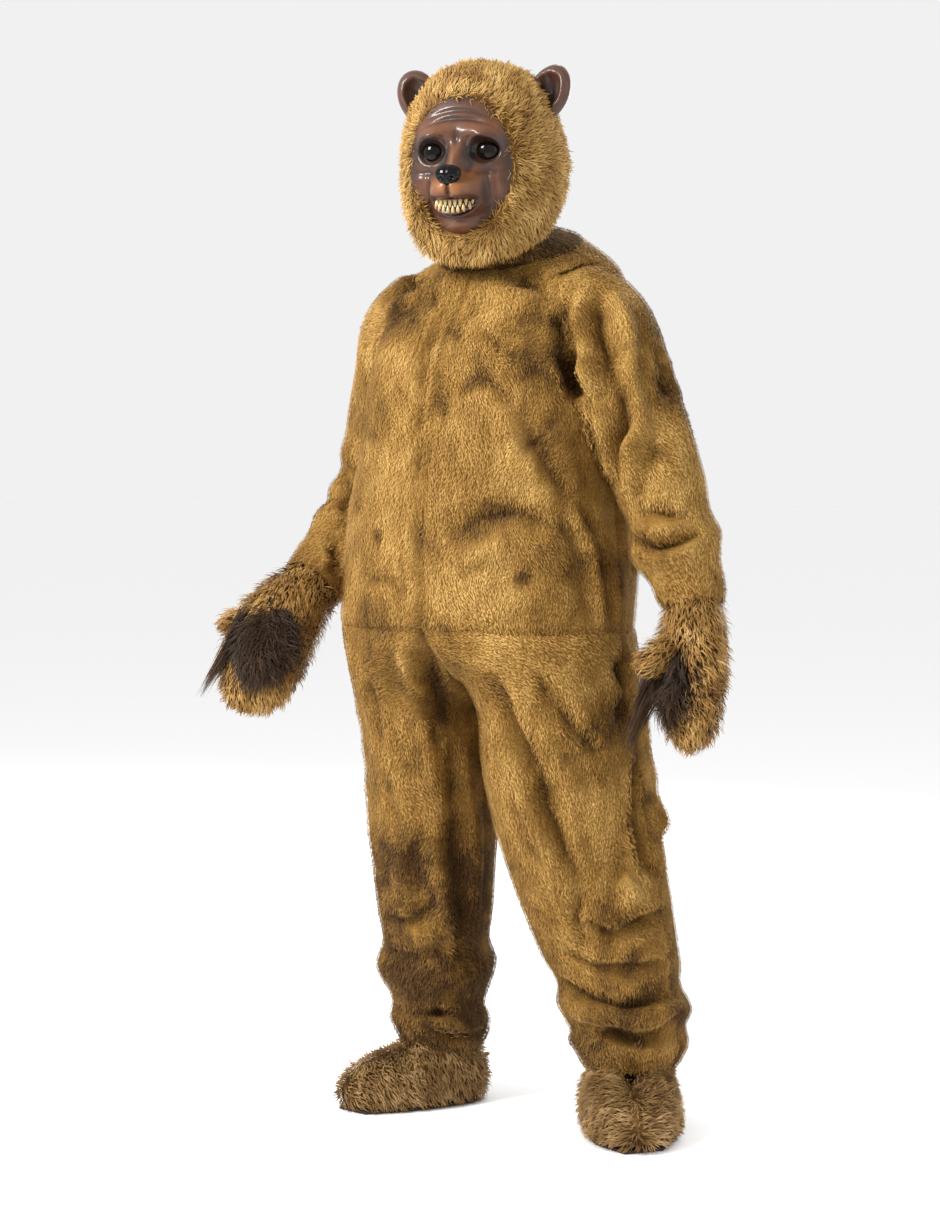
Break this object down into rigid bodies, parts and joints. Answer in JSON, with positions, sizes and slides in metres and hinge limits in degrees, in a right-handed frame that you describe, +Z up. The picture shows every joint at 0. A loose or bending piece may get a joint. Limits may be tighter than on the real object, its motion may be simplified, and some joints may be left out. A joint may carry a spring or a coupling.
{
  "type": "bear mascot costume, worn: jumpsuit, hooded head, mitts and foot covers",
  "caption": "Worn bear costume: hollow plush jumpsuit with fur mitts, foot covers and a hooded bear head with a moulded face, standing with the arms out from the sides.",
  "frame": {"origin": "between the wearer's shoulders, where the jumpsuit hangs, 1.44 m above the soles", "axes": "+Z up, the costume faces -Y, and +X is the wearer's left"},
  "size_m": [0.9634, 0.4971, 1.8517],
  "materials": {
    "plush": "short golden-brown plush with a brushed nap",
    "long_fur": "shaggy brown long-pile fur",
    "head_fur": "thick golden long-pile fur",
    "palm_fur": "dark brown long-pile fur",
    "latex": "moulded and painted latex, semi-gloss",
    "black_plastic": "glossy black",
    "tooth": "cream, satin",
    "sole_felt": "dark felt"
  },
  "bodies": {
    "root": {"collar": "plush", "ear_left": "latex", "ear_right": "latex", "eye_left": "black_plastic", "eye_right": "black_plastic", "foot_left": "long_fur", "foot_right": "long_fur", "hood_left": "head_fur", "hood_right": "head_fur", "leg_back_left": "plush", "leg_back_right": "plush", "leg_front_left": "plush", "leg_front_right": "plush", "mask": "latex", "mitt_left": "long_fur", "mitt_right": "long_fur", "nose": "black_plastic", "palm_left": "palm_fur", "palm_locks_left": "palm_fur", "palm_locks_right": "palm_fur", "palm_right": "palm_fur", "sleeve_left": "plush", "sleeve_right": "plush", "sole_left": "sole_felt", "sole_right": "sole_felt", "teeth_lower": "tooth", "teeth_upper": "tooth", "thumb_left": "long_fur", "thumb_right": "long_fur", "torso_back_left": "plush", "torso_back_right": "plush", "torso_front_left": "plush", "torso_front_right": "plush"}
  },
  "joints": []
}
